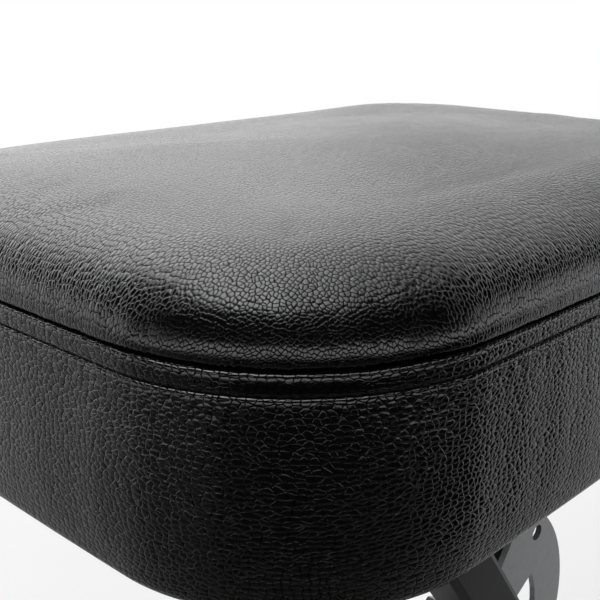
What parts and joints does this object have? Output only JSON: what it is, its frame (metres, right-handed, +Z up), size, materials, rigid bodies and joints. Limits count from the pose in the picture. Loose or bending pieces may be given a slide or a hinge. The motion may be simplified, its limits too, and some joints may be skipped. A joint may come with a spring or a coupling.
{
  "type": "folding keyboard bench",
  "caption": "Padded rectangular bench on a double X frame of square steel tube that locks at several heights and folds flat.",
  "frame": {"origin": "on the floor under the middle of the seat", "axes": "+X along the seat's long side, +Y towards the rear, away from the lock knob, +Z up"},
  "size_m": [0.4142, 0.312, 0.5118],
  "materials": {
    "leatherette": "satin",
    "foam": "matte",
    "plywood": "matte",
    "dust_fabric": "matte",
    "black_steel": "satin",
    "zinc_steel": "satin",
    "rubber": "matte",
    "black_plastic": "satin",
    "nylon": "satin",
    "spring_steel": "satin"
  },
  "bodies": {
    "seat": {"cover_top": "leatherette", "cover_band": "leatherette", "seat_foam": "foam", "seat_board": "plywood", "dust_cloth": "dust_fabric", "hinge_bracket_front": "black_steel", "hinge_bracket_rear": "black_steel", "slide_rail_front": "black_steel", "slide_rail_rear": "black_steel", "bracket_screw_front_left": "zinc_steel", "bracket_screw_front_right": "zinc_steel", "rail_screw_front_left": "zinc_steel", "rail_screw_front_right": "zinc_steel", "bracket_screw_rear_left": "zinc_steel", "bracket_screw_rear_right": "zinc_steel", "rail_screw_rear_left": "zinc_steel", "rail_screw_rear_right": "zinc_steel"},
    "outer_frame": {"outer_leg_front": "black_steel", "outer_leg_rear": "black_steel", "outer_plug_front": "black_plastic", "outer_plug_rear": "black_plastic", "outer_foot_tube": "black_steel", "outer_foot_boot_front": "rubber", "outer_foot_boot_rear": "rubber", "hinge_bolt_front": "zinc_steel", "hinge_bolt_rear": "zinc_steel", "hinge_nut_front": "zinc_steel", "hinge_nut_rear": "zinc_steel", "pivot_bolt_front": "zinc_steel", "pivot_bolt_rear": "zinc_steel", "pivot_nut_front": "zinc_steel", "pivot_nut_rear": "zinc_steel", "pivot_washer": "nylon", "pivot_spacer": "nylon", "plunger_housing": "zinc_steel", "plunger_cap": "zinc_steel", "plunger_spring": "spring_steel"},
    "plunger": {"plunger_pin": "zinc_steel", "pull_knob": "black_plastic"},
    "inner_frame": {"inner_leg_front": "black_steel", "inner_leg_rear": "black_steel", "inner_plug_front": "black_plastic", "inner_plug_rear": "black_plastic", "inner_foot_tube": "black_steel", "inner_foot_boot_front": "rubber", "inner_foot_boot_rear": "rubber", "slide_axle": "zinc_steel", "slide_roller_front": "nylon", "slide_roller_rear": "nylon", "axle_sleeve_front": "nylon", "axle_sleeve_rear": "nylon", "axle_clip_front": "zinc_steel", "axle_clip_rear": "zinc_steel", "index_plate": "zinc_steel", "plate_screw_1": "zinc_steel", "plate_screw_2": "zinc_steel"}
  },
  "joints": [
    {"name": "fold", "type": "hinge", "parent": "seat", "child": "outer_frame", "pos_m": [-0.07523, 0, 0.37296], "axis": [0, -1, 0], "range_deg": [-6, 51]},
    {"name": "scissor", "type": "hinge", "parent": "outer_frame", "child": "inner_frame", "pos_m": [0, 0, 0.26941], "axis": [0, -1, 0], "range_deg": [-102, 12]},
    {"name": "lock_pull", "type": "slide", "parent": "outer_frame", "child": "plunger", "axis": [0, -1, 0], "range_m": [0, 0.007], "stiffness_N_per_m": 800, "springref_m": -0.008, "deforming": ["plunger_spring"]}
  ],
  "couplings": [
    {"joint": "scissor", "follows": "fold", "ratio": -2}
  ]
}
